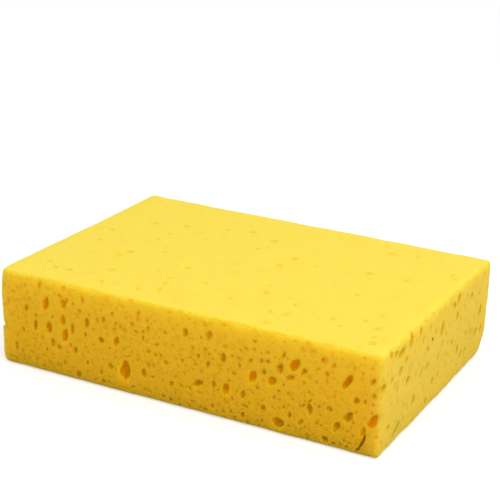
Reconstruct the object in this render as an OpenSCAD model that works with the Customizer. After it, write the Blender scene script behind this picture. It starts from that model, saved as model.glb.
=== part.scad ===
// Cleaning sponge: one block of open-pored cellulose foam, cut square from a slab.
// +X runs along the length, +Y to the back and +Z up. The origin is the middle of the
// underside. Pores stand open on all six sides, tall and deep on the four cut sides,
// small and shallow on the top and the underside.

/* [Block] */
// Length of the block
length = 190; // [150:1:230]
// Width of the block, front to back
width = 134; // [100:1:165]
// Thickness of the block, as it lies
thickness = 46.5; // [34:0.5:56]
// Radius of the four upright corners
corner_r = 4; // [2:0.5:9]
// Height of the rounding along the top and bottom edges
edge_r = 3; // [1.5:0.5:8]

/* [Large pores] */
// Depth of a large pore, as a share of its height
large_pore_depth = 0.7; // [0.3:0.05:1]
// How much slimmer a pore is at its upper end than halfway up, as a share
pore_taper = 0.25; // [0:0.05:0.5]
// Smallest wall left beside a placed pore at the two ends of the front
end_margin = 2; // [1:0.5:6]

/* [Scattered pores] */
// Number that picks another scatter
scatter_seed = 11; // [1:1:99]
// Columns of scattered pores along a long side
long_side_columns = 16; // [8:1:20]
// Columns of scattered pores along an end
end_columns = 11; // [6:1:14]
// Rows of scattered pores up the cut sides
side_rows = 4; // [2:1:5]
// Width of a middling scattered pore
side_pore_w = 2.2; // [1:0.1:3.2]
// Height of a middling scattered pore, along the rise of the foam
side_pore_h = 3.8; // [1:0.1:6]
// Depth of a scattered pore on the cut sides
side_pore_depth = 2.4; // [0.8:0.1:5]
// How far the pores lean over on average, in degrees
side_pore_lean = 14; // [-30:1:30]

/* [Top and underside] */
// Columns of small pits along the top and the underside
pit_columns = 8; // [4:1:14]
// Rows of small pits across the top and the underside
pit_rows = 5; // [3:1:10]
// Width of a middling pit
pit_w = 2.6; // [1:0.1:4]
// Depth of a pit
pit_depth = 0.9; // [0.4:0.1:2]
// Width of the middle of the underside that has no pits
rest_patch = 24; // [12:1:40]

/* [Hidden] */
// Facets round an upright corner, and sides of a large pore and of a small one
corner_facets = 24;
large_sides = 8;
small_sides = 6;
// How far a pore's cutter stands out of the face that it opens in
proud = 0.5;
// A large pore's walls and a small one's: [share of the depth, share of the mouth's size]
large_walls = [[0.6, 0.85], [1, 0.4]];
small_walls = [[1, 0.5]];
// How far a pore's size strays from the middling one, smallest and largest
stray = [0.6, 1.5];
// Share of a cell that a pore's middle may wander over
wander = 0.6;
// Each cut side's way out, as a turn about Z
front = 0;
right = 90;
back = 180;
left = 270;

// Large pores of the front side, as the sponge has them:
// [mm from the left end, mm up from the underside, width, height, lean in degrees]
front_pores = [
    [0.6, 18, 3.2, 4.4, 0], [5, 31, 1.8, 4.5, 0], [8.3, 9.5, 2.4, 5, 0],
    [11.5, 8, 2, 3.6, 10],
    [14.2, 29.5, 2.2, 4, 12], [19, 22, 2.4, 5, 8], [25, 34, 2.8, 6.8, 12],
    [26.3, 23, 3.4, 6.4, 6], [28.5, 15.8, 2.8, 4.6, 8], [32, 14, 3, 3.4, 40],
    [34.4, 36.5, 4.2, 6, 20], [34.2, 27.5, 2.7, 4.8, 8], [35.2, 20.5, 3.4, 6.6, 6],
    [39.2, 25, 2, 5.2, 4], [40.8, 14.5, 2.2, 4.4, 16], [42.6, 3.6, 2.8, 4, 10],
    [47.2, 29.4, 2.4, 5, 4], [54.8, 22.8, 3.2, 3.6, 30], [56, 33, 2.2, 3.2, 10],
    [59.5, 11, 3.2, 3.8, 0], [62.9, 23.9, 2.8, 5.2, 20], [67, 11, 5.2, 9, 12],
    [73.8, 37.3, 2.8, 3.2, 20], [77.2, 12, 2.8, 4.4, 6], [79.8, 16.7, 2, 3, 4],
    [88.7, 19.8, 2.6, 2.8, 30], [91.3, 10.5, 2.4, 2.8, 40], [98, 36, 2.6, 4.6, 14],
    [104.5, 14, 3, 6, 62], [109.4, 37.2, 3.4, 4.6, 24], [109, 23.8, 2, 3.8, 10],
    [112.3, 15.3, 2.2, 3.8, 6], [116.4, 28.8, 2.8, 4.8, 4], [118.3, 15, 3.6, 5.4, 12],
    [126.5, 14.3, 2.6, 4.4, 14], [126.8, 4.8, 2, 3.4, 12], [130.8, 23.8, 3.4, 6.4, 26],
    [136.2, 26.8, 2.2, 3.4, 14], [136.3, 10.4, 2.6, 3.4, 20], [140, 23.3, 3.8, 5, 30],
    [143.8, 30.5, 3.2, 5, 8], [144, 5.5, 4.8, 5, 20], [148.7, 27, 2.8, 4.4, 58],
    [150.3, 33.3, 4, 7, 30], [154, 8.3, 2.4, 4, 30], [154.3, 31.3, 2.2, 4, 34],
    [157.8, 15.5, 3, 5.4, 10], [161, 34.4, 2.4, 2.8, 20], [163.8, 38.8, 3.4, 4.4, 16],
    [165.8, 3.4, 3.2, 3, 30], [167, 17.8, 3, 3.6, 10], [170.5, 10.6, 3.4, 5, 58],
    [174.2, 31.5, 3, 8, 30], [175.4, 16, 3.6, 6.2, 36], [178.7, 24.3, 2.6, 3.8, 12],
    [181, 4.6, 1.4, 7, 30], [182.4, 10.6, 2.6, 5, 16], [185.6, 34.6, 2, 4.2, 30],
    [186.2, 17, 3.4, 7.8, 24],
];

// Scattered pores for a side that is across wide and up tall, one to a cell of its grid:
// [place across and place up from the middle, width, height, lean]
function scatter(across, up, columns, rows, w, h, lean, seed) = [
    for (column = [0 : columns - 1], row = [0 : rows - 1])
        let (
            luck = rands(0, 1, 5, seed * 1000 + column * 40 + row),
            size = stray[0] + (stray[1] - stray[0]) * pow(luck[2], 2)
        )
        [
            across * ((column + 0.5 + wander * (luck[0] - 0.5)) / columns - 0.5),
            up * ((row + 0.5 + wander * (luck[1] - 0.5)) / rows - 0.5),
            w * size,
            h * size * (0.7 + 0.6 * luck[3]),
            lean * (0.4 + 1.2 * luck[4])
        ]
];

// Space between two pores, taking each as a circle across its height
function space_between(a, b) = norm([a[0] - b[0], a[1] - b[1]]) - (a[3] + b[3]) / 2;

// Those of the scattered pores that keep clear of the placed ones
function clear_of(pores, placed) = [
    for (pore = pores)
        if (min([for (other = placed) space_between(pore, other)]) > 0) pore
];

// The front's placed pores, measured from the middle of the side
function placed_pores() = [
    for (pore = front_pores)
        if (pore[0] < length - end_margin && pore[1] < thickness - end_margin)
            [pore[0] - length / 2, pore[1] - thickness / 2, pore[2], pore[3], pore[4]]
];

// Points round a pore at one depth: egg-shaped, with the slimmer end up
function pore_ring(w, h, lean, z, sides) = [
    for (i = [0 : sides - 1])
        let (
            turn = 360 * (i + 0.5) / sides,
            x = w / 2 * cos(turn) * (1 - pore_taper * sin(turn)),
            y = h / 2 * sin(turn)
        )
        [x * cos(lean) + y * sin(lean), y * cos(lean) - x * sin(lean), z]
];

// A pore that opens in the XY plane, narrowing down to a small floor
module pore(w, h, depth, lean, walls, sides) {
    levels = concat([[-proud / depth, 1]], walls);
    last = len(levels) - 1;
    polyhedron(
        points = [
            for (level = levels)
                each pore_ring(w * level[1], h * level[1], lean, -depth * level[0], sides)
        ],
        faces = concat(
            [[for (i = [sides - 1 : -1 : 0]) i]],
            [
                for (j = [0 : last - 1], i = [0 : sides - 1])
                    let (next = (i + 1) % sides, here = j * sides, below = here + sides)
                    [here + i, here + next, below + next, below + i]
            ],
            [[for (i = [0 : sides - 1]) last * sides + i]]
        )
    );
}

module large_pore(p) {
    translate([p[0], p[1], 0])
        pore(p[2], p[3], large_pore_depth * p[3], p[4], large_walls, large_sides);
}

module small_pore(p, depth) {
    translate([p[0], p[1], 0])
        pore(p[2], p[3], depth, p[4], small_walls, small_sides);
}

// Turns what lies in the XY plane onto a cut side, reach out from the middle
module on_cut_side(turn, reach) {
    translate([0, 0, thickness / 2])
        rotate([90, 0, turn])
            translate([0, 0, reach])
                children();
}

// An upright corner, drawn in towards its middle at the top and the bottom
module corner_post() {
    steps = corner_facets / 4;
    sweep = [for (i = [0 : steps]) 90 * i / steps];
    rotate_extrude($fn = corner_facets)
        polygon([
            for (a = sweep) [corner_r * sin(a), edge_r * (1 - cos(a))],
            for (a = sweep) [corner_r * cos(a), thickness - edge_r * (1 - sin(a))]
        ]);
}

// The block without its pores
module block() {
    hull()
        for (x = [-1, 1], y = [-1, 1])
            translate([x * (length / 2 - corner_r), y * (width / 2 - corner_r), 0])
                corner_post();
}

module scattered_side(turn, reach, across, columns, seed, keep_clear_of = []) {
    pores = scatter(across - 2 * corner_r, thickness - edge_r, columns, side_rows,
        side_pore_w, side_pore_h, side_pore_lean, seed);
    kept = len(keep_clear_of) > 0 ? clear_of(pores, keep_clear_of) : pores;
    on_cut_side(turn, reach)
        for (p = kept)
            small_pore(p, side_pore_depth * p[2] / side_pore_w);
}

module front_side() {
    placed = placed_pores();
    on_cut_side(front, width / 2)
        for (p = placed)
            large_pore(p);
    scattered_side(front, width / 2, length, long_side_columns, scatter_seed, placed);
}

// Pits in a flat side that faces up; those on the middle of the patch are left out
module flat_side(seed, patch) {
    pits = scatter(length - 4 * corner_r, width - 4 * corner_r, pit_columns, pit_rows,
        pit_w, pit_w * 1.2, 90, seed);
    for (p = pits)
        if (norm([p[0], p[1]]) > patch / 2 + p[3])
            small_pore(p, pit_depth);
}

module sponge() {
    color([0.98, 0.80, 0.20])
        difference() {
            block();
            front_side();
            scattered_side(right, length / 2, width, end_columns, scatter_seed + 1);
            scattered_side(back, width / 2, length, long_side_columns, scatter_seed + 2);
            scattered_side(left, length / 2, width, end_columns, scatter_seed + 3);
            translate([0, 0, thickness])
                flat_side(scatter_seed + 4, 0);
            rotate([180, 0, 0])
                flat_side(scatter_seed + 5, rest_patch);
        }
}

sponge();
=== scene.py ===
import math
import random
import bpy
import bmesh
from mathutils import Matrix, Vector, noise


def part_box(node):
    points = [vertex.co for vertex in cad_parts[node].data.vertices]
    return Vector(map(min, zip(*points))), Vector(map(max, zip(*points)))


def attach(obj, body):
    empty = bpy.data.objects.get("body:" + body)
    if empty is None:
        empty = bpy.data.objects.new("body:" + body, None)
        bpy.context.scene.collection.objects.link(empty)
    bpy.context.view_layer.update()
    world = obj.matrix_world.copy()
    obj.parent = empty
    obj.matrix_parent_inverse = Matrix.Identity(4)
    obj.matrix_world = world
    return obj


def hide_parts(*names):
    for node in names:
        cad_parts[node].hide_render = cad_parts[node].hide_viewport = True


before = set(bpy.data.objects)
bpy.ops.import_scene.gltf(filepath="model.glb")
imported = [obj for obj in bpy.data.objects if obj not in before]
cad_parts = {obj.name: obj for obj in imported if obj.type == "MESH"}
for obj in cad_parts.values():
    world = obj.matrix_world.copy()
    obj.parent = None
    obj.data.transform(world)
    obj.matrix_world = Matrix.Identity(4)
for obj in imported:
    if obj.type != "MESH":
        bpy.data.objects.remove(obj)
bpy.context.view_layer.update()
blockLow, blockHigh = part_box("sponge")
blockSize = blockHigh - blockLow
blockMiddle = (blockLow + blockHigh) / 2
mm = 0.001
samePoint = 1e-6  # metres within which two points are one

# where the six sides start, and which way is across, up and out on each
sideAxes = {
    "front": ((0, 0, 0), (1, 0, 0), (0, 0, 1), (0, -1, 0)),
    "right": ((1, 0, 0), (0, 1, 0), (0, 0, 1), (1, 0, 0)),
    "back": ((1, 1, 0), (-1, 0, 0), (0, 0, 1), (0, 1, 0)),
    "left": ((0, 1, 0), (0, -1, 0), (0, 0, 1), (-1, 0, 0)),
    "top": ((0, 0, 1), (1, 0, 0), (0, 1, 0), (0, 0, 1)),
    "under": ((0, 1, 0), (1, 0, 0), (0, -1, 0), (0, 0, -1)),
}


class Places:
    # things kept by place, so that those near a point are found quickly
    def __init__(self, cellSize):
        self.cellSize = cellSize
        self.cells = {}

    def cellOf(self, place):
        return tuple(math.floor(c / self.cellSize) for c in place)

    def add(self, place, thing):
        self.cells.setdefault(self.cellOf(place), []).append(thing)

    def near(self, place):
        x, y, z = self.cellOf(place)
        for i in (-1, 0, 1):
            for j in (-1, 0, 1):
                for k in (-1, 0, 1):
                    yield from self.cells.get((x + i, y + j, z + k), ())


def asObject(name, shape, materials):
    mesh = bpy.data.meshes.new(name)
    shape.to_mesh(mesh)
    shape.free()
    for material in materials:
        mesh.materials.append(material)
    thing = bpy.data.objects.new(name, mesh)
    bpy.context.scene.collection.objects.link(thing)
    return thing


# the foam block: lengths in millimetres
block = {
    "rounding": 2.4,
    "roundingSteps": 4,
    "gridStep": 2,
    "sway": 0.3,  # how far the skin wanders in from the cut face, in long waves
    "swayLength": 22,
    "lumps": 0.3,  # and in lumps on the upright sides
    "lumpLength": 5,
    "streaks": 0.42,  # and in leaning streaks on the two ends
    "streakLength": 3.2,
    "streakHeight": 9,
    "streakLean": 0.35,
    # and along the edges: the front's and the right end's upper ones, and the others
    "edgeWear": {"shown": 1.2, "other": 0.3},
    "edgeReach": 5.5,  # how far from an edge it starts
    "edgeLengths": ((11, 0.6), (4.5, 0.4)),  # long waves and short ones, with their shares
    "edgeContrast": 1.6,
    "shownSpread": 1.5,  # reaches from the shown edges over which their wear becomes the others'
    "keenCorner": 9,  # less and less wear this near to a corner
    # corners worn rounder than the others: which, how far in and from how near
    "wornCorners": [((1, 1, 0), 2.6, 15), ((0, 0, 0), 1.4, 8), ((0, 0, 1), 0.9, 7)],
}


def wave(x, y, z, contrast=0.6):
    # 0 to 1, mostly round the middle
    return min(max(0.5 + contrast * noise.noise(Vector((x, y, z))), 0), 1)


def edgeWear(place):
    # millimetres taken off near the block's edges, most off the two upper ones of the front and
    # the right end, least at the corners
    inside = sorted((blockSize[i] / 2 - abs(place[i] - blockMiddle[i])) / mm for i in range(3))
    near = max(1 - math.hypot(inside[0], inside[1]) / block["edgeReach"], 0)
    keen = min(math.hypot(*inside) / block["keenCorner"], 1)
    fromShown = max(blockHigh.z - place.z, min(place.y - blockLow.y, blockHigh.x - place.x)) / mm
    shown = max(1 - fromShown / block["edgeReach"] / block["shownSpread"], 0)
    least, most = block["edgeWear"]["other"], block["edgeWear"]["shown"]
    rough = sum(
        share * wave(*(place / mm / length + Vector((0, 5, 0))), block["edgeContrast"])
        for length, share in block["edgeLengths"]
    )
    return (least + (most - least) * shown) * near ** 2 * (3 - 2 * near) * keen * rough


def skinDepth(place, out):
    # millimetres that the skin lies in from the cut face; the bare numbers in the waves, here
    # and along the edges, only keep them from running in step
    x, y, z = place / mm
    upright = 1 - abs(out.z)
    length, lump = block["swayLength"], block["lumpLength"]
    depth = block["sway"] * wave(x / length, y / length, z / length)
    depth += block["lumps"] * upright * wave(x / lump + 9, y / lump, z / lump)
    slant = (y - math.copysign(block["streakLean"], x) * z) / block["streakLength"]
    depth += block["streaks"] * abs(out.x) * wave(3, slant, z / block["streakHeight"])
    return depth + edgeWear(place)


def seatMatrix(side, across, up):
    # a frame on the rounded skin: x across, y up, z out, at a place measured on the flat side
    start, acrossAxis, upAxis, out = (Vector(axis) for axis in sideAxes[side])
    corner = Vector(blockLow[i] + start[i] * blockSize[i] for i in range(3))
    place = corner + acrossAxis * across * mm + upAxis * up * mm
    rounding = block["rounding"] * mm
    core = Vector(
        min(max(place[i], blockLow[i] + rounding), blockHigh[i] - rounding) for i in range(3)
    )
    out = (place - core).normalized()
    acrossHere = upAxis.cross(out).normalized()
    upHere = out.cross(acrossHere)
    seat = Matrix((acrossHere, upHere, out)).transposed().to_4x4()
    place = core + out * rounding
    seat.translation = place - out * skinDepth(place, out) * mm
    return seat


def makeBlock():
    skin = bmesh.new()
    bmesh.ops.create_cube(skin, size=1)
    bmesh.ops.scale(skin, vec=blockSize, verts=skin.verts)
    bmesh.ops.translate(skin, vec=blockMiddle, verts=skin.verts)
    bmesh.ops.bevel(
        skin, geom=skin.edges[:], offset=block["rounding"] * mm, offset_type="OFFSET",
        segments=block["roundingSteps"], profile=0.5, affect="EDGES", material=-1,
    )
    step = block["gridStep"] * mm
    for axis in range(3):
        inset = block["rounding"] * mm
        span = blockSize[axis] - 2 * inset
        cuts = max(1, round(span / step))
        for cut in range(1, cuts):
            point, normal = Vector((0, 0, 0)), Vector((0, 0, 0))
            point[axis] = blockLow[axis] + inset + span * cut / cuts
            normal[axis] = 1
            bmesh.ops.bisect_plane(
                skin, geom=skin.verts[:] + skin.edges[:] + skin.faces[:],
                plane_co=point, plane_no=normal, dist=samePoint,
            )
    return skin


def swaySkin(skin):
    # the cut faces wander inwards a little, and some corners are worn
    skin.normal_update()
    for vert in skin.verts:
        out, place = vert.normal.copy(), vert.co.copy()
        vert.co -= out * skinDepth(place, out) * mm
        for corner, depth, reach in block["wornCorners"]:
            worn = Vector(blockLow[i] + corner[i] * blockSize[i] for i in range(3))
            near = 1 - (place - worn).length / (reach * mm)
            if near > 0:
                vert.co += (blockMiddle - worn).normalized() * depth * mm * near ** 2


# soft dips of the skin: the dimples of the top and the underside, and those round wide pores
dips = {
    "depth": 0.1,  # against width and height together
    "reach": 0.65,  # how far a dimple spreads from its middle, of its width
    # the painted shade in a dimple
    "paintedShade": 0.55,
    "cuts": 2,  # cuts of each grid edge under a dimple
    "poreCuts": 1,  # and round a pore
    "finer": 1.15,  # how far from a dip's middle the grid is cut, of the dip's reach
    "more": {"top": 34, "under": 50},
    "margin": 6,
    "width": (2.4, 5),
    "tall": (0.5, 1),
    "poreDepth": 0.04,
    "poreReach": 1.7,
    "smallest": 2.2,  # pores narrower than this have none
    "through": 4,  # a dip moves and tints nothing further in or out than this
    "cell": 8,  # side of the cells in which dips are looked up
}

# the top's pits: millimetres across and up, width, height, lean in degrees
topPits = [
    (14, 73.2, 3.4, 2.6, 0), (21, 15.1, 3.6, 2.4, 20), (37, 43.6, 3, 2.2, 0),
    (45, 25.9, 3.8, 2.6, 10), (53, 58.4, 3, 2.2, 0), (62, 103.7, 3.4, 2.6, 0),
    (67, 12.1, 3.6, 2.4, 0), (74, 23.9, 4, 2.6, 70), (107, 23.9, 3.4, 2.4, 80),
    (129, 19, 3.8, 2.4, 70), (135, 30.8, 3.4, 2.2, 80), (145, 115.5, 4.4, 3.4, 0),
    (155, 25.9, 4.6, 2.4, 85), (158, 117.5, 3.4, 2.6, 0), (161, 20, 3.2, 2.2, 80),
    (165, 85, 3.6, 2.6, 90), (168, 30.8, 3.6, 2.4, 60), (172, 39.7, 3.6, 2.4, 70),
    (178, 17, 3.4, 2.2, 80),
]


def placeDimples(luck):
    spots = [("top", *pit) for pit in topPits]
    for pore in frontLarge + frontSmall:
        if pore[5] < poreCut["softBelow"]:
            spots.append(("front", *pore[:5]))
    margin = dips["margin"]
    for side, count in dips["more"].items():
        for i in range(count):
            width = luck.uniform(*dips["width"])
            spots.append((
                side,
                luck.uniform(margin, blockSize.x / mm - margin),
                luck.uniform(margin, blockSize.y / mm - margin),
                width, width * luck.uniform(*dips["tall"]), luck.uniform(0, 180),
            ))
    found = []
    for side, across, up, width, height, lean in spots:
        seat = seatMatrix(side, across, up) @ Matrix.Rotation(-math.radians(lean), 4, "Z")
        wide, tall = width * dips["reach"], height * dips["reach"]
        found.append((seat, wide, tall, dips["depth"] * (width + height), dips["paintedShade"]))
    return found


def dipsOf(field):
    found = []
    for pore in field.pores:
        width, height = pore["width"], pore["height"]
        if width > dips["smallest"]:
            wide, tall = width / 2 * dips["poreReach"], height / 2 * dips["poreReach"]
            found.append((pore["seat"], wide, tall, dips["poreDepth"] * (width + height), 0))
    return found


def pressDips(skin, found, cuts):
    # each dip is its frame, its reach across and up, its depth and its painted shade
    where = Places(dips["cell"] * mm)
    for seat, wide, tall, deep, paintedShade in found:
        where.add(seat.translation, (seat, seat.inverted(), wide, tall, deep))
    close = []
    for edge in skin.edges:
        middle = (edge.verts[0].co + edge.verts[1].co) / 2
        for seat, inverse, wide, tall, deep in where.near(middle):
            if (middle - seat.translation).length < dips["finer"] * max(wide, tall) * mm:
                close.append(edge)
                break
    bmesh.ops.subdivide_edges(skin, edges=close, cuts=cuts, use_grid_fill=True)
    for vert in skin.verts:
        for seat, inverse, wide, tall, deep in where.near(vert.co):
            local = inverse @ vert.co / mm
            far = math.hypot(local.x / wide, local.y / tall)
            if far < 1 and abs(local.z) < dips["through"]:
                vert.co -= seat.to_3x3().col[2] * deep * mm * (1 + math.cos(math.pi * far)) / 2


# one pore: millimetres across and up its side, width, height, lean in degrees, strength from
# 0, a faint dent, to 1, a deep hole, and above that a dark slit, its darkness painted shadow
frontLarge = [
    (5, 31, 1.8, 4.5, 0, 0.2), (9, 9.5, 2.4, 5, 0, 0.35), (12.3, 8, 2, 3.4, 10, 0.3),
    (15, 29.6, 2, 3.6, 12, 0.55), (19.8, 22.3, 2.4, 4.8, 8, 0.5), (25.8, 34, 3, 6.4, 12, 0.85),
    (27.2, 23, 3.4, 6, 6, 0.95), (29.3, 15.8, 2.8, 4.6, 8, 0.45),
    (32.8, 14.3, 2.8, 3.2, 40, 0.45), (35.1, 36, 3, 5.2, 12, 0.8), (35, 28, 2.7, 4.6, 8, 0.65),
    (36, 20.8, 3.2, 6.2, 6, 0.9), (40, 25, 2, 5.6, 4, 0.4), (41.5, 14.8, 2.2, 4, 16, 0.5),
    (43.2, 3.6, 2.6, 4, 10, 0.6), (47.8, 29.6, 2.4, 4.8, 4, 0.55),
    (55.2, 22.9, 3.2, 3.6, 30, 0.65), (56.6, 33, 2.2, 3.2, 10, 0.4),
    (60.3, 11.3, 3.4, 3.8, 0, 0.4), (63.3, 24.2, 2.8, 4.8, 20, 0.95), (67.9, 11, 5, 8.6, 12, 1),
    (74.4, 37.3, 2.6, 3.2, 20, 0.28), (77.5, 12.3, 2.8, 4.4, 6, 0.6), (80, 16.9, 2, 3, 4, 0.45),
    (88.8, 19.9, 2.6, 2.8, 30, 0.35), (91.6, 10.7, 2.4, 3, 40, 0.6),
    (98.2, 36.2, 2.6, 4.4, 14, 0.6), (104.8, 14, 3, 6, 62, 0.7),
    (109.7, 37.6, 3.4, 4.6, 24, 0.45), (109.5, 24, 2, 3.8, 10, 0.4),
    (112.6, 15.4, 2.2, 3.8, 6, 0.5), (116.8, 28.8, 2.8, 4.8, 4, 0.5),
    (118.5, 14.9, 3.6, 5.2, 12, 0.8), (126.8, 14.3, 2.6, 4.2, 14, 0.55),
    (127, 4.8, 2, 3.2, 12, 0.55), (131, 23.4, 3.4, 6, 26, 0.85),
    (136.3, 26.9, 2.2, 3.3, 14, 0.45), (136.6, 10.4, 2.6, 3.2, 20, 0.55),
    (140.3, 23.8, 3.4, 4.6, 34, 1.1), (143.8, 30.5, 3.2, 4.8, 8, 0.45),
    (144, 5.7, 4.8, 5, 20, 0.85), (148.6, 27.2, 2.6, 4.4, 60, 0.4),
    (150.4, 33.4, 3.8, 6.6, 30, 0.95), (154, 8.2, 2.2, 4, 30, 0.4),
    (154.6, 31.4, 2.2, 4, 34, 0.35), (158, 15.3, 2.8, 5.2, -6, 0.65),
    (161, 34.4, 2.4, 2.8, 20, 0.28), (163.8, 38.7, 3.4, 4.4, 16, 0.28),
    (165.6, 3.5, 3, 3, 30, 0.65), (167, 17.6, 2.8, 3.4, 10, 0.4),
    (170.7, 10.9, 2.8, 4.6, 20, 1.2), (174.2, 31.6, 2.8, 7.4, 30, 0.95),
    (175.5, 16.3, 3.4, 6, 36, 0.6), (178.7, 24.3, 2.6, 3.8, 12, 0.65),
    (182.4, 11.2, 2.4, 4.4, 16, 0.8), (185.4, 34.4, 1.9, 4, 30, 0.5),
    (186.2, 17, 3.2, 7.2, 24, 0.9),
]
frontSmall = [
    (9.5, 15, 1.8, 3, 0, 0.25), (12, 39, 1.5, 3, 8, 0.2), (12.3, 24, 1, 2, 0, 0.2),
    (18.5, 15.5, 3.4, 1.5, 0, 0.25), (20.3, 27.2, 1.4, 3, 8, 0.3), (23.6, 17, 1.5, 3, 8, 0.3),
    (29.3, 10.1, 1.8, 1.6, 0, 0.35), (35.6, 7, 2, 3, 10, 0.35), (39, 16.6, 1.4, 3, 8, 0.35),
    (47, 23.8, 1.8, 3, 8, 0.4), (48, 10.3, 1.8, 2.8, 20, 0.45), (48.2, 6, 1.2, 1.8, 20, 0.5),
    (53.4, 32, 1.5, 3.4, 6, 0.35), (55.4, 7.4, 1.6, 2.6, 8, 0.6), (56.6, 3.4, 2.2, 2.6, 0, 0.7),
    (61.3, 6.8, 1, 1.2, 0, 0.7), (61.2, 36.8, 1.6, 2.6, 8, 0.5), (63, 32.6, 1.4, 1.6, 0, 0.5),
    (65.5, 31.9, 1.2, 2, 8, 0.5), (67.3, 21.5, 1.4, 1.6, 0, 0.6), (67.7, 30.4, 1.6, 1, 0, 0.5),
    (71.5, 34.6, 2, 1.6, 30, 0.5), (73.6, 31.3, 2, 1, 20, 0.55), (72.3, 4.5, 2.5, 1, -20, 0.6),
    (74.6, 18.2, 1.4, 1.7, 0, 0.65), (77.2, 28.9, 1.2, 2.4, 10, 0.6),
    (77.1, 32, 1.2, 1.8, 0, 0.5), (79.5, 34, 1.4, 3, 8, 0.5), (80, 23.2, 1.6, 2, 0, 0.65),
    (82.2, 11.5, 3, 1.2, 0, 0.5), (82.6, 17, 1.4, 2, 0, 0.55), (83.4, 22.3, 1.6, 1.6, 0, 0.65),
    (84, 27.4, 2.8, 1.2, -20, 0.4), (86.1, 22.7, 1.3, 2, 0, 0.65), (87.8, 3.9, 2.2, 1.6, 0, 0.7),
    (88.3, 34, 1.5, 1.5, 0, 0.55), (91.4, 3.1, 1.9, 2, 0, 0.7), (93.8, 14.4, 1, 1.3, 0, 0.65),
    (97, 23, 1.6, 2, 0, 0.5), (96.7, 11, 2, 2, 0, 0.45), (101, 11, 1.6, 2, 0, 0.65),
    (102, 5, 1.4, 1.8, 0, 0.6), (102, 30.3, 1.2, 1.8, 0, 0.45), (104.8, 27, 1.8, 2.4, 10, 0.65),
    (105.5, 9.8, 2.5, 1.6, 0, 0.35), (106, 35.8, 1, 2, 0, 0.5), (108.2, 31, 1.4, 1.6, 0, 0.6),
    (107.6, 42, 3.6, 2.8, 20, 0.22), (108.5, 2.8, 2.5, 1.2, 0, 0.5),
    (110.3, 28.9, 1.4, 1.4, 0, 0.55), (112.3, 5.4, 2, 2, 20, 0.65),
    (117.5, 34.2, 2.4, 1.8, 0, 0.3), (118.3, 10, 1, 2, 0, 0.65), (120, 19, 1.5, 1.6, 0, 0.5),
    (121.4, 4.8, 2, 1.8, 30, 0.7), (121.7, 11, 1.5, 2.2, 0, 0.55),
    (122.3, 22.8, 2.4, 2, 30, 0.45), (123.4, 2.7, 1.8, 1.2, 0, 0.7),
    (124.3, 30.4, 1.6, 1.4, 0, 0.6), (125.3, 34.5, 1.5, 1, 0, 0.45), (128, 9, 4, 2.2, 10, 0.4),
    (127.7, 35.8, 1.6, 1.6, 0, 0.45), (130, 30.8, 1.2, 2.6, 35, 0.7),
    (131.6, 40, 2, 1.4, 0, 0.55), (131.6, 36.2, 1.2, 1.6, 0, 0.55), (131.2, 3.2, 1.2, 1, 0, 0.65),
    (133.5, 19, 2.2, 1.4, -30, 0.5), (135, 31.8, 1.8, 2.6, 10, 0.5),
    (137.7, 36.2, 1.4, 1.6, 0, 0.5), (138, 32, 2, 2.4, 30, 0.5), (143.5, 20, 1.2, 2, 30, 0.6),
    (145.2, 36.6, 1.4, 3.4, 25, 0.55), (146.2, 13.2, 1.3, 1.8, 20, 0.6),
    (147, 35.5, 1, 1.5, 0, 0.45), (148, 20, 1.4, 1.6, 20, 0.55), (149, 10.4, 2, 3.4, 10, 0.65),
    (152.3, 4.5, 1.2, 1.2, 0, 0.55), (153.6, 41.3, 3, 2.4, 0, 0.22),
    (155, 16.2, 1.4, 2.8, 45, 0.5), (156.2, 6.5, 1.2, 2, 0, 0.4), (158.2, 41.2, 3.8, 3, 0, 0.25),
    (158, 19, 1, 3, 30, 0.5), (161.4, 9.7, 2, 1.6, 0, 0.5), (162.2, 17.6, 1.8, 2, 20, 0.35),
    (163.8, 9.4, 1.4, 1.6, 0, 0.4), (168, 37.3, 2, 2.8, 30, 0.35), (169, 23.8, 1.2, 1.2, 0, 0.5),
    (169.6, 8.6, 2.4, 1.6, 60, 0.6), (169.4, 2.6, 2.6, 1.6, 0, 0.6),
    (172.3, 23.4, 1.2, 1, 0, 0.45), (174.2, 5, 1.8, 2, 0, 0.4), (175.4, 2.9, 2, 1.4, 0, 0.6),
    (177.7, 14.2, 1.6, 2.2, 10, 0.45), (179, 19.4, 1.4, 1.4, 0, 0.4),
    (182.5, 24.8, 1.8, 2.6, 10, 0.35), (185.6, 20.5, 1, 2, 0, 0.4),
    (186.2, 28.3, 2.2, 2.6, 10, 0.4), (33.4, 39.3, 1.6, 2.2, -20, 0.6),
    (37.1, 38, 1.7, 2.6, 25, 0.65), (36.3, 34, 1.4, 2, 0, 0.5), (35.2, 43.2, 3.2, 3, 0, 0.25),
    (38.4, 42.2, 2, 2.8, 0, 0.28),
]
# the torn slit at the lower right of the front
frontTears = [
    (183, 8.4, 1.3, 4.6, 10, 1.3), (181.9, 5.6, 1.3, 4.4, 24, 1.3),
    (180.4, 2.9, 1.4, 3.2, 38, 1.3),
]
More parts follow.
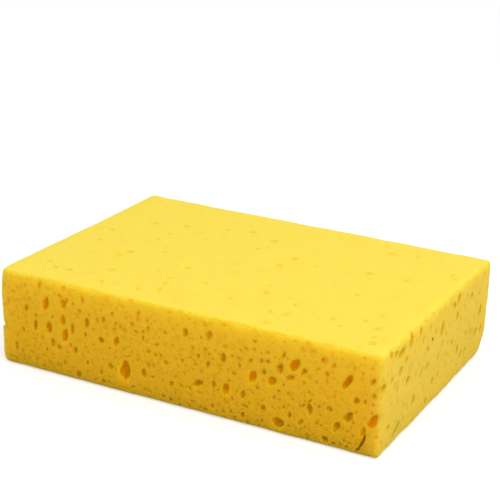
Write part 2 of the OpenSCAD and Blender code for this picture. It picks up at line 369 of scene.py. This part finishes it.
# the notch beside the front's left edge
leftNick = [
    (132, 19.3, 6, 3.6, 0, 0.8),
]
rightPores = [
    (69.6, 33.8, 3.2, 6.4, 18, 0.75), (41.8, 42.2, 2.8, 3.8, 21, 0.8),
    (31, 42, 3.4, 5.6, 39, 0.8), (89.1, 41, 2.8, 5.3, 47, 0.75), (84.1, 39.7, 2.8, 3, 36, 0.7),
    (18.9, 6.6, 2.2, 8.5, 68, 1), (9.9, 11.1, 2.8, 2.9, 49, 0.55),
    (20.4, 40.7, 3.2, 6.7, 77, 0.65), (20.8, 32.5, 3, 3.8, 49, 0.65),
    (25.8, 35.2, 2.5, 3.2, 42, 0.55), (29.5, 24.4, 3, 4, 70, 0.65),
    (51.5, 30.6, 2.5, 2.8, 53, 0.65), (45.4, 22.2, 1.8, 5, 44, 0.5),
    (60.7, 12.1, 2.5, 3.2, 30, 0.65), (67.2, 12.1, 2.5, 3, 49, 0.65),
    (52.5, 22, 2.5, 4.3, 71, 0.55), (38.2, 12.1, 3.2, 4.3, 45, 0.7),
    (53.1, 5.5, 2.8, 3.4, 43, 0.65), (84, 21.6, 2.5, 2.5, 27, 0.55),
    (91.5, 15.1, 2.2, 5, 14, 0.65), (97.2, 11.6, 2.2, 4.3, 32, 0.65),
    (103.5, 10.3, 2.8, 4.3, 45, 0.6), (107.6, 36.7, 2.8, 2.9, 21, 0.75),
    (121.4, 24.2, 3.2, 6, 24, 0.65), (125.1, 13.8, 3.2, 3.8, 44, 0.6),
    (117.2, 14.4, 3, 5.3, 55, 0.6), (102.9, 19.6, 2.2, 2.8, 45, 0.45),
    (110.2, 17.9, 2.2, 2.7, 34, 0.45), (10.5, 32.6, 2.2, 2.4, 43, 0.5),
    (60.3, 35.9, 2.2, 2.4, 15, 0.45), (53.1, 39.9, 2.2, 2.2, 7, 0.5),
    (88.9, 33, 2.5, 4.3, 2, 0.5), (94.3, 30, 2, 2.1, 36, 0.45), (14.1, 42.3, 2.7, 3, 29, 0.65),
    (9.2, 43.4, 2.7, 3, 48, 0.55), (113.5, 23.3, 2, 2.4, 43, 0.45), (38.3, 2.6, 2, 3.5, 71, 0.5),
    (78.7, 17.4, 2, 2.4, 66, 0.45), (2.4, 31.8, 3, 3.8, 20, 0.65), (56.9, 33.3, 2.2, 1.2, 0, 1.6),
]
knownPores = {
    "front": frontLarge + frontSmall + frontTears,
    "right": rightPores,
    "left": leftNick,
}

# how many more pores each side gets at random, and what they are like
scatter = {
    "seed": 4706,
    "gap": 0.25,
    "margin": 0.3,
    "tries": 12,
    "large": {"width": (2.0, 3.8), "tall": (1.3, 2.2), "lean": (0, 34), "strength": (0.35, 1)},
    "medium": {"width": (1.1, 2.2), "tall": (1.0, 2.0), "lean": (-5, 40), "strength": (0.2, 0.5)},
    "small": {"width": (0.6, 1.4), "tall": (0.9, 1.7), "lean": (-20, 45), "strength": (0.2, 0.45)},
    "slit": {"width": (1.2, 2.4), "tall": (1.6, 3.0), "lean": (12, 50), "strength": (0.3, 0.6)},
    "counts": {
        "front": {"medium": 45, "small": 430},
        "back": {"large": 54, "medium": 130, "small": 380},
        "right": {"slit": 22, "medium": 40, "small": 90},
        "left": {"large": 18, "slit": 44, "medium": 60, "small": 110},
        "top": {"small": 14},
        "under": {"small": 26},
    },
    # a strip with fewer and fainter ones: millimetres under the top, and beside the upright
    # edges of the long sides
    "calmTop": {"front": 10, "back": 10, "right": 4, "left": 4},
    "calmEnd": 6,
    "calmLeast": 0.15,  # share of them that is left at the edge itself
    "calmStrength": 0.4,  # and share of their strength in the calmest place
}

# how pores are cut, with lengths in millimetres
poreCut = {
    "depth": {"front": 0.3, "back": 0.3, "right": 0.3, "left": 0.3, "top": 0.2, "under": 0.2},
    "faintDepth": 0.45,  # share of the depth that a pore of no strength has
    # how far the widest part lies below the mouth, of the depth under it: above the mouth for a
    # faint dent, below it for a deep hole
    "belly": (-0.75, 0.3),
    "softBelow": 0.3,  # strength under which a front pore is only pressed in, not cut
    "walls": {"front": 1, "back": 1, "right": 2, "left": 2, "top": 3, "under": 3},
    "darkWalls": {"front": 4, "right": 5},  # of those stronger than 1, whose dark colour is painted shadow
    "room": 1.25,  # a pore is taken to reach this far, of its radius
    "cell": 12,  # side of the cells in which pores are looked up
    "fineFrom": (1.9, 2.8),  # width and height from which a pore's mold is fine
    "middleFrom": 0.62,  # and radius from which it is middling
    "roughness": 0.3,  # how far a large pore's wall wanders, of its radius
    "smoother": 0.6,  # share of that for the others
    "roughWaves": ((1.3, 1), (2.9, 0.5)),  # waves to a radius, with their shares
    "lobes": 2,  # side hollows of a strong large pore
    "lobesFrom": (2.3, 0.45),  # width and strength from which it has them
    "lobeSize": (0.45, 0.65),
    "lobeOut": 0.3,  # from the pore's middle, of its width and height
    "lobeTurn": (110, 200),  # degrees from one to the next
    "lobeLean": 25,
    "lobeStrength": 1.1,
    "rimAngle": 70,  # degrees from which the rim is a crease
}


class PoreField:
    # pores kept in batches in which none touches another, so each batch cuts cleanly
    def __init__(self):
        self.pores = []
        self.where = Places(poreCut["cell"] * mm)

    def add(self, pore, gap, mayTouch):
        taken = {
            other["batch"] for other in self.where.near(pore["place"])
            if (other["place"] - pore["place"]).length < other["reach"] + pore["reach"] + gap
        }
        if taken and not mayTouch:
            return False
        pore["batch"] = 0
        while pore["batch"] in taken:
            pore["batch"] += 1
        self.pores.append(pore)
        self.where.add(pore["place"], pore)
        return True


def addPore(field, side, across, up, width, height, lean, strength, mayTouch=True, gap=0):
    faint = poreCut["faintDepth"]
    depth = poreCut["depth"][side] * (width + height) * (faint + (1 - faint) * strength)
    belly = poreCut["belly"][0] + (poreCut["belly"][1] - poreCut["belly"][0]) * min(strength, 1)
    below = depth / (1 + belly)
    widen = 1 / math.sqrt(1 - belly ** 2)
    seat = seatMatrix(side, across, up) @ Matrix.Rotation(-math.radians(lean), 4, "Z")
    shape = (
        seat
        @ Matrix.Translation((0, 0, -belly * below * mm))
        @ Matrix.Diagonal((width / 2 * widen * mm, height / 2 * widen * mm, below * mm, 1))
    )
    radius = max(width, height) / 2
    detail = 2 if radius > poreCut["middleFrom"] else 1
    if width > poreCut["fineFrom"][0] and height > poreCut["fineFrom"][1]:
        detail = 3
    return field.add({
        "place": shape.translation.copy(), "shape": shape, "seat": seat, "side": side,
        "reach": max(radius * widen, below) * poreCut["room"] * mm, "detail": detail,
        "width": width, "height": height, "strength": strength, "depth": depth,
    }, gap * mm, mayTouch)


def addLobes(field, side, pore, luck):
    # side hollows, so that a strong pore isn't one clean oval
    across, up, width, height, lean, strength = pore
    start = luck.uniform(0, 360)
    out, tilt = poreCut["lobeOut"], math.radians(-lean)
    for i in range(poreCut["lobes"]):
        turn = math.radians(start + i * luck.uniform(*poreCut["lobeTurn"]))
        alongX, alongY = out * width * math.cos(turn), out * height * math.sin(turn)
        size = luck.uniform(*poreCut["lobeSize"])
        addPore(
            field, side,
            across + alongX * math.cos(tilt) - alongY * math.sin(tilt),
            up + alongX * math.sin(tilt) + alongY * math.cos(tilt),
            width * size, height * size,
            lean + luck.uniform(-poreCut["lobeLean"], poreCut["lobeLean"]),
            min(1, strength * poreCut["lobeStrength"]),
        )


def placeKnown(field, luck):
    widest, strongest = poreCut["lobesFrom"]
    for side, pores in knownPores.items():
        for pore in pores:
            if pore[5] < poreCut["softBelow"]:
                continue
            addPore(field, side, *pore)
            if pore[2] > widest and pore[5] > strongest:
                addLobes(field, side, pore, luck)


def calmHere(side, across, up):
    # 1 well inside an upright side, less near its top edge and near a long side's ends
    if side not in scatter["calmTop"]:
        return 1
    calm = (blockSize.z / mm - up) / scatter["calmTop"][side]
    if side in ("front", "back"):
        calm = min(calm, min(across, blockSize.x / mm - across) / scatter["calmEnd"])
    return min(max(calm, scatter["calmLeast"]), 1)


def tryPore(field, side, kind, sideSize, luck):
    # a pore at a random place, which isn't made beside another one or, at times, in a calm place
    like, margin, faint = scatter[kind], scatter["margin"], scatter["calmStrength"]
    width = like["width"][0] + (like["width"][1] - like["width"][0]) * luck.random() ** 2
    height = width * luck.uniform(*like["tall"])
    across = luck.uniform(margin, sideSize[0] - margin)
    up = luck.uniform(margin, sideSize[1] - margin)
    lean = luck.uniform(*like["lean"])
    calm = calmHere(side, across, up)
    strength = luck.uniform(*like["strength"]) * (faint + (1 - faint) * calm)
    pore = (across, up, width, height, lean, strength)
    if luck.random() >= calm or not addPore(field, side, *pore, False, scatter["gap"]):
        return False
    if kind == "large" and strength > poreCut["lobesFrom"][1]:
        addLobes(field, side, pore, luck)
    return True


def scatterPores(field, luck):
    for side, counts in scatter["counts"].items():
        acrossAxis, upAxis = (Vector(axis) for axis in sideAxes[side][1:3])
        sideSize = (abs(acrossAxis.dot(blockSize)) / mm, abs(upAxis.dot(blockSize)) / mm)
        for kind, count in counts.items():
            for i in range(count):
                for attempt in range(scatter["tries"]):
                    if tryPore(field, side, kind, sideSize, luck):
                        break


def makeMolds():
    molds = {}
    for detail in (1, 2, 3):
        ball = bmesh.new()
        bmesh.ops.create_icosphere(ball, subdivisions=detail, radius=1)
        molds[detail] = ball
    return molds


def castBatch(pores, molds, number):
    cast = bmesh.new()
    for index, pore in enumerate(pores):
        lump = molds[pore["detail"]].copy()
        # a stretch of the noise of its own, so that no two pores are alike
        shift = Vector((number * 7.3 + index * 1.9, index * 0.37, pore["place"].x * 100))
        roughness = poreCut["roughness"] * (1 if pore["detail"] == 3 else poreCut["smoother"])
        for vert in lump.verts:
            wander = sum(
                share * noise.noise(vert.co * often + shift)
                for often, share in poreCut["roughWaves"]
            )
            vert.co *= 1 + roughness * wander
            vert.co = pore["shape"] @ vert.co
        walls = poreCut["walls"] if pore["strength"] <= 1 else poreCut["darkWalls"]
        for face in lump.faces:
            face.material_index = walls[pore["side"]]
        scrap = bpy.data.meshes.new("scrap")
        lump.to_mesh(scrap)
        cast.from_mesh(scrap)
        bpy.data.meshes.remove(scrap)
        lump.free()
    return cast


def cutPores(foam, field, materials):
    molds = makeMolds()
    for number in range(max(pore["batch"] for pore in field.pores) + 1):
        batch = [pore for pore in field.pores if pore["batch"] == number]
        cutter = asObject("poreCutter", castBatch(batch, molds, number), materials)
        cut = foam.modifiers.new("pores", "BOOLEAN")
        cut.operation = "DIFFERENCE"
        cut.solver = "MANIFOLD"
        cut.object = cutter
        bpy.context.view_layer.update()
        depsgraph = bpy.context.evaluated_depsgraph_get()
        carved = bpy.data.meshes.new_from_object(foam.evaluated_get(depsgraph))
        foam.modifiers.clear()
        old, oldCutter = foam.data, cutter.data
        foam.data = carved
        bpy.data.meshes.remove(old)
        bpy.data.objects.remove(cutter)
        bpy.data.meshes.remove(oldCutter)
        print("pores: batch", number, "cut", len(batch), "faces now", len(carved.polygons))
    for ball in molds.values():
        ball.free()
    foam.data.name = foam.name


def softenRims(foam):
    # smooth faces, with a crease only where a pore's wall meets the skin steeply
    shape = bmesh.new()
    shape.from_mesh(foam.data)
    bmesh.ops.dissolve_degenerate(shape, dist=samePoint, edges=shape.edges[:])
    for face in shape.faces:
        face.smooth = True
    for edge in shape.edges:
        kinds = {face.material_index for face in edge.link_faces}
        steep = edge.calc_face_angle(0) >= math.radians(poreCut["rimAngle"])
        edge.smooth = len(kinds) == 1 or not steep
    shape.to_mesh(foam.data)
    shape.free()


# how much painted shade a point takes in and round a pore or dimple, darker further down, with
# lengths in millimetres
hollowShade = {
    "dimpleRise": 1.6,  # how soon a dimple's painted shade is full, from its rim inwards
    "halo": 0.6,  # how far round a pore the skin takes painted shade, of its radius
    "above": 1.5,  # a pore paints no shade further out than this
    "below": 1.4,  # nor further in, of its depth
    "start": 0.15,  # depth from which the walls take more painted shade than the rim
    "full": 1.3,  # and depth at which they are darkest
    "fullShare": 0.8,  # or this share of a shallow pore's depth
    "rimShare": 0.6,  # the rim's painted shade, of the full one
    "faintest": 0.25,  # the full painted shade of a pore of no strength
    "byStrength": 1.1,  # and what its strength adds
}


def dimpleShade(place, dimples):
    most = 0
    for inverse, wide, tall, paintedShade in dimples.near(place):
        local = inverse @ place / mm
        far = math.hypot(local.x / wide, local.y / tall)
        if far < 1 and abs(local.z) < dips["through"]:
            most = max(most, paintedShade * min(hollowShade["dimpleRise"] * (1 - far), 1))
    return most


def poreShade(place, pore):
    local = pore["inverse"] @ place / mm
    far = math.hypot(local.x / pore["width"], local.y / pore["height"]) * 2
    halo = min(max(1 - (far - 1) / hollowShade["halo"], 0), 1)
    lowest = -pore["depth"] * hollowShade["below"]
    if halo <= 0 or not lowest < local.z < hollowShade["above"]:
        return 0
    full = min(hollowShade["full"], hollowShade["fullShare"] * pore["depth"])
    down = min(max((-local.z - hollowShade["start"]) / full, 0), 1)
    rim = hollowShade["rimShare"]
    most = min(hollowShade["faintest"] + hollowShade["byStrength"] * pore["strength"], 1)
    return most * (rim * halo + (1 - rim) * down)


def shadeHollows(foam, field, dimples):
    # for the materials: how much painted shade each point takes, from 0 to 1, the more the further
    # into a pore or dimple it lies, and the strength of the pore that it lies in
    shadeAndStain = foam.data.attributes.new("shadeAndStain", "FLOAT", "POINT")
    strong = foam.data.attributes.new("strong", "FLOAT", "POINT")
    soft = Places(dips["cell"] * mm)
    for seat, wide, tall, deep, paintedShade in dimples:
        soft.add(seat.translation, (seat.inverted(), wide, tall, paintedShade))
    for pore in field.pores:
        pore["inverse"] = pore["seat"].inverted()
    for index, vert in enumerate(foam.data.vertices):
        most, strength = dimpleShade(vert.co, soft), 0
        for pore in field.where.near(vert.co):
            paintedShade = poreShade(vert.co, pore)
            if paintedShade > most:
                most, strength = paintedShade, pore["strength"]
        shadeAndStain.data[index].value = most
        strong.data[index].value = strength


def addNode(tree, kind, **settings):
    node = tree.nodes.new(kind)
    for name, value in settings.items():
        setattr(node, name, value)
    return node


def feed(tree, socket, content):
    # a plain number or colour is set on the socket, and anything else is linked to it
    if isinstance(content, (tuple, float, int)):
        socket.default_value = content
    else:
        tree.links.new(content, socket)


def mixColors(tree, factor, first, second):
    mix = addNode(tree, "ShaderNodeMix", data_type="RGBA")
    for index, content in ((0, factor), (6, first), (7, second)):
        feed(tree, mix.inputs[index], content)
    return mix.outputs[2]


def ramp(tree, value, low, high):
    # 0 at low and beyond it, 1 at high and beyond it, eased between
    node = addNode(tree, "ShaderNodeMapRange", interpolation_type="SMOOTHSTEP")
    for name, content in (("Value", value), ("From Min", low), ("From Max", high)):
        feed(tree, node.inputs[name], content)
    return node.outputs["Result"]


def calculate(tree, operation, first, second=0):
    node = addNode(tree, "ShaderNodeMath", operation=operation)
    feed(tree, node.inputs[0], first)
    feed(tree, node.inputs[1], second)
    return node.outputs[0]


def times(tree, first, second):
    return calculate(tree, "MULTIPLY", first, second)


def plus(tree, first, second):
    return calculate(tree, "ADD", first, second)


def attribute(tree, name):
    return addNode(tree, "ShaderNodeAttribute", attribute_name=name).outputs["Fac"]


def splitUp(tree, vector):
    node = addNode(tree, "ShaderNodeSeparateXYZ")
    tree.links.new(vector, node.inputs["Vector"])
    return node.outputs


def noiseIn(tree, place, look):
    node = addNode(tree, "ShaderNodeTexNoise")
    node.inputs["Scale"].default_value = look["perMetre"]
    node.inputs["Detail"].default_value = look["detail"]
    tree.links.new(place, node.inputs["Vector"])
    return node.outputs["Fac"]


# how the foam takes the light, and its open cells that are too small to model, with their shade
# painted as dark specks
foamLook = {
    "roughness": 0.95,
    "softness": 0.8,  # share of the light that spreads inside the foam
    "shine": 0.1,  # specular level, against the softness
    "spread": (1.0, 0.62, 0.12),  # how far red, green and blue light spreads, of the reach
    "spreadReach": 0.011,
    "cells": (0.0016, 0.0009),  # metres from one to the next
    "cellSize": 0.34,  # radius of the largest, against that
    "cellEdge": 0.09,  # half the width of their soft edge, against that too
    "wallCells": 0.15,  # how strongly they show in a pore's wall
    "skinBump": (0.0004, 0.6),  # metres, and strength
    "wallBump": (0.0003, 0.5),
}

# colours of the foam, as linear values: skin, then the painted shade of a shallow dent, a deep
# pore and a dark slit, the shallow one also being the colour of the olive stains
foamColors = {
    "flat": (
        (0.98, 0.68, 0.075, 1), (0.82, 0.56, 0.024, 1),
        (0.80, 0.48, 0.015, 1), (0.40, 0.20, 0.010, 1),
    ),
    "long": (
        (0.97, 0.535, 0.020, 1), (0.66, 0.36, 0.001, 1),
        (0.86, 0.46, 0.001, 1), (0.52, 0.21, 0.010, 1),
    ),
    # painted light: brighter under the top edge, where light from above spreads down through the
    # foam
    "litBand": (
        (1.0, 0.61, 0.027, 1), (0.84, 0.43, 0.002, 1),
        (0.90, 0.50, 0.002, 1), (0.52, 0.21, 0.010, 1),
    ),
    # painted shade: darker skin and pores at the foot of the long sides
    "shadedFoot": (
        (0.95, 0.52, 0.020, 1), (0.48, 0.26, 0.003, 1),
        (0.60, 0.29, 0.001, 1), (0.52, 0.21, 0.010, 1),
    ),
    "end": (
        (0.98, 0.62, 0.066, 1), (0.69, 0.40, 0.016, 1),
        (0.70, 0.40, 0.010, 1), (0.02, 0.008, 0.001, 1),
    ),
}

# where those colours lie, in millimetres from the edge: the band of painted light at the top and
# the foot of painted shade at the bottom of the long sides, and the paler parts, painted light,
# beside their upright edges
colorPlaces = {
    "litBand": 18,
    "shadedFoot": 9,
    "edgeLightReach": 8,
    "edgeLightShare": 0.65,  # of the ends' colour, painted light on the long sides at the upright edges
    "litBandOnEnds": 0.25,  # share of the band's painted light, on the ends at the top edge
    "deepFrom": (0.45, 0.85),  # strengths over which shallow turns to deep
    "darkFrom": (1.1, 1.4),  # and deep to dark
}


def foamShader(name, softness):
    material = bpy.data.materials.new(name)
    material.use_nodes = True
    tree = material.node_tree
    shader = tree.nodes["Principled BSDF"]
    shader.inputs["Roughness"].default_value = foamLook["roughness"]
    shader.inputs["Specular IOR Level"].default_value = foamLook["shine"] * softness
    shader.inputs["Subsurface Weight"].default_value = softness
    shader.inputs["Subsurface Radius"].default_value = foamLook["spread"]
    shader.inputs["Subsurface Scale"].default_value = foamLook["spreadReach"]
    return material, tree, shader


def cellNodes(tree, place, cell):
    # one dark speck at most to a cell, the painted shade of an open cell, many of them too small
    # to show
    cells = addNode(tree, "ShaderNodeTexVoronoi", feature="F1")
    cells.inputs["Scale"].default_value = 1 / cell
    tree.links.new(place, cells.inputs["Vector"])
    chance = addNode(tree, "ShaderNodeSeparateColor")
    tree.links.new(cells.outputs["Color"], chance.inputs["Color"])
    size = times(tree, chance.outputs["Red"], foamLook["cellSize"])
    inside = calculate(tree, "SUBTRACT", size, cells.outputs["Distance"])
    return ramp(tree, inside, -foamLook["cellEdge"], foamLook["cellEdge"])


def addBump(tree, shader, height, look):
    bump = addNode(tree, "ShaderNodeBump")
    bump.inputs["Distance"].default_value = look[0]
    bump.inputs["Strength"].default_value = look[1]
    tree.links.new(height, bump.inputs["Height"])
    tree.links.new(bump.outputs["Normal"], shader.inputs["Normal"])


def colorOf(tree, part, shadeAndStain, strong):
    # skin where none is painted, and the painted shade of a shallow dent, deep pore or dark slit
    # the further down, which the stains take too
    skin, shallow, deep, dark = foamColors[part]
    wall = mixColors(tree, ramp(tree, strong, *colorPlaces["deepFrom"]), shallow, deep)
    wall = mixColors(tree, ramp(tree, strong, *colorPlaces["darkFrom"]), wall, dark)
    return mixColors(tree, shadeAndStain, skin, wall)


def nearTop(tree, height):
    return ramp(tree, height, blockHigh.z - colorPlaces["litBand"] * mm, blockHigh.z)


def longColor(tree, height, shadeAndStain, strong):
    color = colorOf(tree, "long", shadeAndStain, strong)
    # painted light in the band under the top edge
    color = mixColors(tree, nearTop(tree, height), color, colorOf(tree, "litBand", shadeAndStain, strong))
    # painted shade at the foot
    nearShadedFoot = ramp(tree, height, blockLow.z + colorPlaces["shadedFoot"] * mm, blockLow.z)
    return mixColors(tree, nearShadedFoot, color, colorOf(tree, "shadedFoot", shadeAndStain, strong))


def endColor(tree, height, shadeAndStain, strong):
    color = colorOf(tree, "end", shadeAndStain, strong)
    # painted light under the top edge of the ends too
    topLight = times(tree, nearTop(tree, height), colorPlaces["litBandOnEnds"])
    return mixColors(tree, topLight, color, colorOf(tree, "litBand", shadeAndStain, strong))


def flatColor(tree, height, shadeAndStain, strong):
    # the same at any height
    return colorOf(tree, "flat", shadeAndStain, strong)


# the stains of the skin: how many noise waves to a metre, the noise values between which a
# stain sets in, and shares of the hollows' tint
skinLook = {
    "longFrom": (0.35, 0.95),  # how far the surface faces along Y where it is a long side's
    "uprightFrom": (0.9, 0.5),  # and along Z where it is an upright side's
    "mottles": {"perMetre": 420, "detail": 2, "range": (0.54, 0.70), "share": 0.5},
    "mottlesOn": {"long": 0.6, "upright": 0.4},
    "patches": {"perMetre": 38, "detail": 2, "range": (0.38, 0.62), "least": 0.3},
    "blotches": {"perMetre": 130, "detail": 2, "range": (0.52, 0.72), "share": 0.16},
    "lowFrom": 35,  # millimetres up, from which the upright sides darken downwards with painted shade
    "lowMottleShade": 0.5,  # how much thicker the mottles are at the foot, as painted shade
    "lowShade": {"long": 0.22, "upright": 0.24},
    "cells": 0.2,  # how strongly the painted shade of the open cells shows on the long sides
    "cellsLeast": 0.06,  # and on all of the skin
    "grain": {"perMetre": 900, "detail": 4},
}


def stainAndLowShadeNodes(tree, place, longSide, upright, lower):
    # olive mottles on the upright sides, thicker in some places than in others, and thicker
    # towards the foot as painted shade, and faint wide blotches on the top and the underside
    mottles, patches, blotches = (skinLook[kind] for kind in ("mottles", "patches", "blotches"))
    amount = ramp(tree, noiseIn(tree, place, mottles), *mottles["range"])
    amount = times(tree, amount, mottles["share"])
    density = ramp(tree, noiseIn(tree, place, patches), *patches["range"])
    density = plus(tree, density, patches["least"])
    thick = plus(tree, density, times(tree, lower, skinLook["lowMottleShade"]))
    where = plus(
        tree,
        times(tree, longSide, skinLook["mottlesOn"]["long"]),
        times(tree, upright, skinLook["mottlesOn"]["upright"]),
    )
    stainAndLowShade = times(tree, times(tree, amount, thick), where)
    wide = ramp(tree, noiseIn(tree, place, blotches), *blotches["range"])
    wide = times(tree, wide, blotches["share"])
    wide = times(tree, wide, calculate(tree, "SUBTRACT", 1, upright))
    return calculate(tree, "MAXIMUM", stainAndLowShade, wide), density


def makeSkinMaterial():
    material, tree, shader = foamShader("foamSkin", foamLook["softness"])
    texture = addNode(tree, "ShaderNodeTexCoord")
    place = texture.outputs["Object"]
    spot, facing = splitUp(tree, place), splitUp(tree, texture.outputs["Normal"])
    shadeAndStain, strong = attribute(tree, "shadeAndStain"), attribute(tree, "strong")
    longSide = ramp(tree, calculate(tree, "ABSOLUTE", facing["Y"]), *skinLook["longFrom"])
    upright = ramp(tree, calculate(tree, "ABSOLUTE", facing["Z"]), *skinLook["uprightFrom"])
    # painted light: the long sides are paler beside their upright edges, where the rounded edges
    # catch the light
    fromMiddle = calculate(tree, "ABSOLUTE", spot["X"])
    nearEnd = ramp(tree, fromMiddle, blockHigh.x - colorPlaces["edgeLightReach"] * mm, blockHigh.x)
    edgeLight = times(tree, nearEnd, colorPlaces["edgeLightShare"])
    longSide = times(tree, longSide, calculate(tree, "SUBTRACT", 1, edgeLight))
    lower = ramp(tree, spot["Z"], skinLook["lowFrom"] * mm, 0)
    stainAndLowShade, density = stainAndLowShadeNodes(tree, place, longSide, upright, lower)
    cells = calculate(tree, "MAXIMUM", *(cellNodes(tree, place, c) for c in foamLook["cells"]))
    showing = times(tree, times(tree, longSide, density), skinLook["cells"])
    showing = plus(tree, showing, skinLook["cellsLeast"])
    mark = plus(tree, stainAndLowShade, times(tree, cells, showing))
    shade = plus(
        tree,
        times(tree, longSide, skinLook["lowShade"]["long"]),
        times(tree, upright, skinLook["lowShade"]["upright"]),
    )
    # painted shade, darker towards the bottom of the upright sides
    mark = plus(tree, mark, times(tree, lower, shade))
    # the painted shade of pores and dimples, or the stains and painted shade of the skin,
    # whichever is more
    depth = calculate(tree, "MAXIMUM", shadeAndStain, mark)
    flat, end, long = (
        colorAt(tree, spot["Z"], depth, strong) for colorAt in (flatColor, endColor, longColor)
    )
    color = mixColors(tree, longSide, mixColors(tree, upright, flat, end), long)
    tree.links.new(color, shader.inputs["Base Color"])
    relief = plus(tree, times(tree, cells, -1), noiseIn(tree, place, skinLook["grain"]))
    addBump(tree, shader, relief, foamLook["skinBump"])
    return material


def makePoreMaterial(name, sideColor, softness):
    material, tree, shader = foamShader(name, softness)
    place = addNode(tree, "ShaderNodeTexCoord").outputs["Object"]
    cells = cellNodes(tree, place, foamLook["cells"][1])
    depth = plus(tree, attribute(tree, "shadeAndStain"), times(tree, cells, foamLook["wallCells"]))
    color = sideColor(tree, splitUp(tree, place)["Z"], depth, attribute(tree, "strong"))
    tree.links.new(color, shader.inputs["Base Color"])
    addBump(tree, shader, times(tree, cells, -1), foamLook["wallBump"])
    return material


# camera as the photograph was taken: millimetres, degrees
shot = {
    "place": (277.9, -545.8, 272.2),
    "lookAt": (-4.9, 7.5, 49.8),
    "roll": 1.87,
    "lens": 101,
    "sensor": 36,
    "clip": (10, 20000),
}


def makeCamera():
    place = Vector(shot["place"]) * mm
    view = Vector(shot["lookAt"]) * mm - place
    data = bpy.data.cameras.new("camera")
    data.lens = shot["lens"]
    data.sensor_width = shot["sensor"]
    data.clip_start, data.clip_end = (c * mm for c in shot["clip"])
    camera = bpy.data.objects.new("camera", data)
    roll = Matrix.Rotation(math.radians(shot["roll"]), 3, "Z")
    turn = view.to_track_quat("-Z", "Y").to_matrix() @ roll
    camera.matrix_world = Matrix.Translation(place) @ turn.to_4x4()
    bpy.context.scene.collection.objects.link(camera)
    bpy.context.scene.camera = camera


# light and floor: metres, watts
lamps = {
    "world": 0.75,
    "boxPlace": (0.55, -0.35, 0.95),
    "boxSize": 0.9,
    "boxPower": 6,
    "floorColor": (0.6, 0.6, 0.6, 1),
    "floorGlow": 0.5,
    "floorSize": 6,
}


def makeLamps():
    # the world is white where it is seen or mirrored, and dimmer as a light
    world = bpy.data.worlds.new("studio")
    bpy.context.scene.world = world
    world.use_nodes = True
    tree = world.node_tree
    background = tree.nodes["Background"]
    background.inputs["Color"].default_value = (1, 1, 1, 1)
    path = addNode(tree, "ShaderNodeLightPath").outputs
    seen = calculate(tree, "MAXIMUM", path["Is Camera Ray"], path["Is Glossy Ray"])
    seen = calculate(tree, "MAXIMUM", seen, path["Is Transmission Ray"])
    level = addNode(tree, "ShaderNodeMix", data_type="FLOAT")
    for index, content in ((0, seen), (2, lamps["world"]), (3, 1)):
        feed(tree, level.inputs[index], content)
    tree.links.new(level.outputs[0], background.inputs["Strength"])
    data = bpy.data.lights.new("softBox", "AREA")
    data.shape = "SQUARE"
    data.size = lamps["boxSize"]
    data.energy = lamps["boxPower"]
    box = bpy.data.objects.new("softBox", data)
    box.location = lamps["boxPlace"]
    box.rotation_euler = (-box.location).to_track_quat("-Z", "Y").to_euler()
    bpy.context.scene.collection.objects.link(box)


def makeFloor():
    # pale grey under the light, lifted to white where it is seen, so that it keeps the shadow
    sheet = bmesh.new()
    bmesh.ops.create_grid(sheet, x_segments=1, y_segments=1, size=lamps["floorSize"] / 2)
    material = bpy.data.materials.new("paperWhite")
    material.use_nodes = True
    tree = material.node_tree
    shader = tree.nodes["Principled BSDF"]
    shader.inputs["Base Color"].default_value = lamps["floorColor"]
    shader.inputs["Roughness"].default_value = 1
    shader.inputs["Specular IOR Level"].default_value = 0
    shader.inputs["Emission Color"].default_value = (1, 1, 1, 1)
    path = addNode(tree, "ShaderNodeLightPath").outputs
    seen = calculate(tree, "MAXIMUM", path["Is Camera Ray"], path["Is Glossy Ray"])
    tree.links.new(times(tree, seen, lamps["floorGlow"]), shader.inputs["Emission Strength"])
    floor = asObject("floor", sheet, [material])


makeCamera()
makeLamps()
makeFloor()
print("stage: camera, lamps and floor")

# in the order of the numbers in poreCut's walls; the dark ones, whose colour is painted shadow,
# aren't soft, because light that spreads inside the foam would wash them out
materials = [
    makeSkinMaterial(),
    makePoreMaterial("longPoreWall", longColor, foamLook["softness"]),
    makePoreMaterial("endPoreWall", endColor, foamLook["softness"]),
    makePoreMaterial("flatPoreWall", flatColor, foamLook["softness"]),
    makePoreMaterial("tornSlitWall", longColor, 0),
    makePoreMaterial("darkSpeckWall", endColor, 0),
]
print("foam: materials", len(materials))

field = PoreField()
poreLuck = random.Random(scatter["seed"])
placeKnown(field, poreLuck)
scatterPores(field, poreLuck)
dimples = placeDimples(random.Random(scatter["seed"] + 1))
print("foam: pores placed", len(field.pores), "dimples", len(dimples))

skin = makeBlock()
swaySkin(skin)
pressDips(skin, dimples, dips["cuts"])
pressDips(skin, dipsOf(field), dips["poreCuts"])
bmesh.ops.triangulate(skin, faces=skin.faces[:])
foam = asObject("foamBlock", skin, materials)
print("foam: block with", len(foam.data.polygons), "faces")

cutPores(foam, field, materials)
softenRims(foam)
shadeHollows(foam, field, dimples)
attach(foam, "root")
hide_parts("sponge")
print("foam: triangles", sum(len(face.vertices) - 2 for face in foam.data.polygons))

bpy.context.scene.view_settings.view_transform = "Standard"
